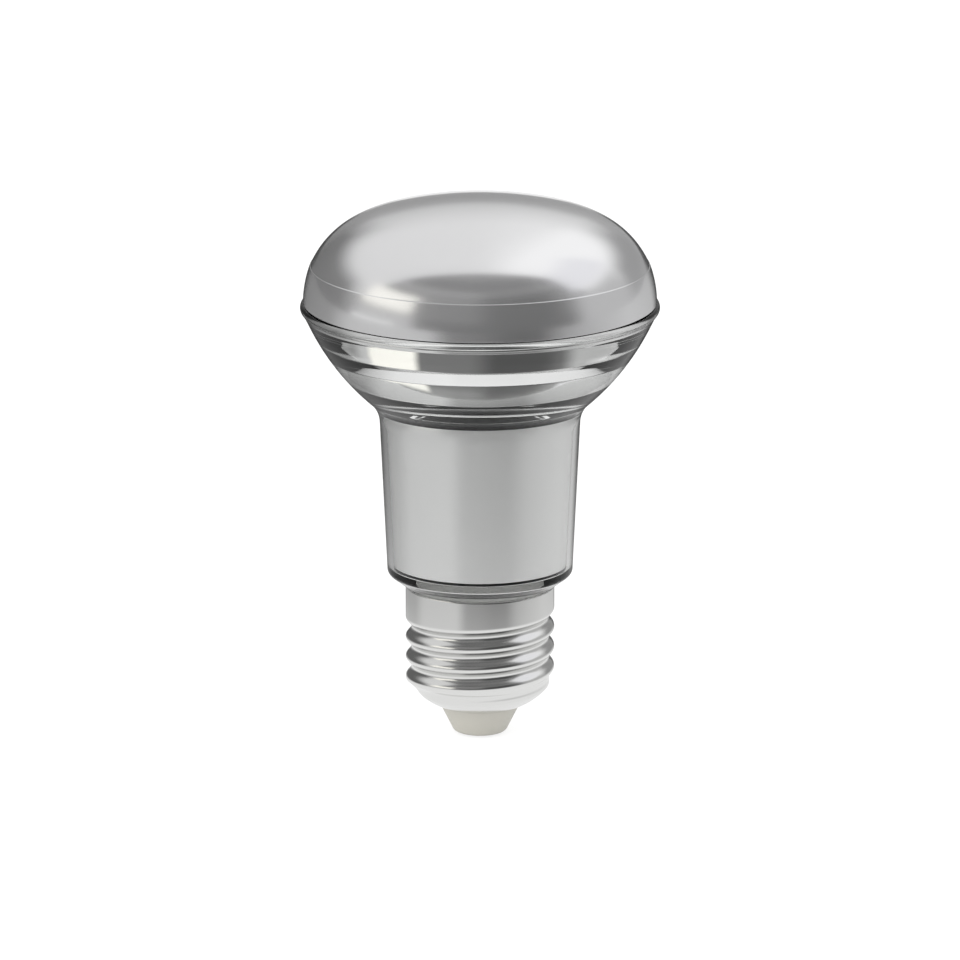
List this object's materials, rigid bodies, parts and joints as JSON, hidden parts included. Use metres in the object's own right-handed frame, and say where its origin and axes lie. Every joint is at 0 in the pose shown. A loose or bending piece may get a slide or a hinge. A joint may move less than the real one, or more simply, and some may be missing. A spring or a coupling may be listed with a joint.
{
  "type": "reflector bulb",
  "caption": "Glass reflector lamp with a satin domed front, stepped bright reflector, tapered clear neck over an aluminium sleeve, and a nickel screw cap.",
  "frame": {"origin": "centre of the centre contact's face, the lamp's lowest point and the point where a lampholder's spring meets it", "axes": "+Z along the lamp axis from the cap to the front cover; -Y towards the camera of the picture"},
  "size_m": [0.063, 0.063, 0.0965],
  "materials": {
    "satin_cover": "satin, light-diffusing",
    "dark_seal": "smooth",
    "clear_glass": "clear, fire polished",
    "bright_reflector": "bright vapour coating",
    "satin_aluminium": "satin",
    "nickel_shell": "bright nickel plate",
    "insulator_plastic": "moulded, pale grey",
    "contact_brass": "nickel flash",
    "cement": "matt",
    "board_white": "white solder mask",
    "phosphor": "cast silicone",
    "screw_steel": "zinc plate",
    "housing_plastic": "moulded, white",
    "board_green": "green solder mask",
    "capacitor_sleeve": "shrink sleeve",
    "ferrite": "ground ferrite",
    "copper_winding": "tape over copper",
    "film_box": "epoxy box",
    "black_package": "moulded epoxy",
    "resistor_body": "lacquered",
    "wire_red": "insulation",
    "wire_black": "insulation"
  },
  "bodies": {
    "root": {"front_cover": "satin_cover", "cover_seal": "dark_seal", "glass_body": "clear_glass", "reflector": "bright_reflector", "neck_seal": "dark_seal", "heat_sink": "satin_aluminium", "foot_seal": "dark_seal", "screw_shell": "nickel_shell", "base_insulator": "insulator_plastic", "centre_contact": "contact_brass", "cap_cement": "cement", "led_board": "board_white", "led_packages": "phosphor", "board_screws": "screw_steel", "driver_housing": "housing_plastic", "driver_board": "board_green", "bulk_capacitor": "capacitor_sleeve", "output_capacitor": "capacitor_sleeve", "transformer_core": "ferrite", "transformer_winding": "copper_winding", "film_capacitor": "film_box", "bridge_rectifier": "black_package", "controller_chip": "black_package", "output_diode": "black_package", "fuse_resistor": "resistor_body", "led_wire_positive": "wire_red", "led_wire_negative": "wire_black", "live_wire": "wire_red", "neutral_wire": "wire_black"}
  },
  "joints": []
}
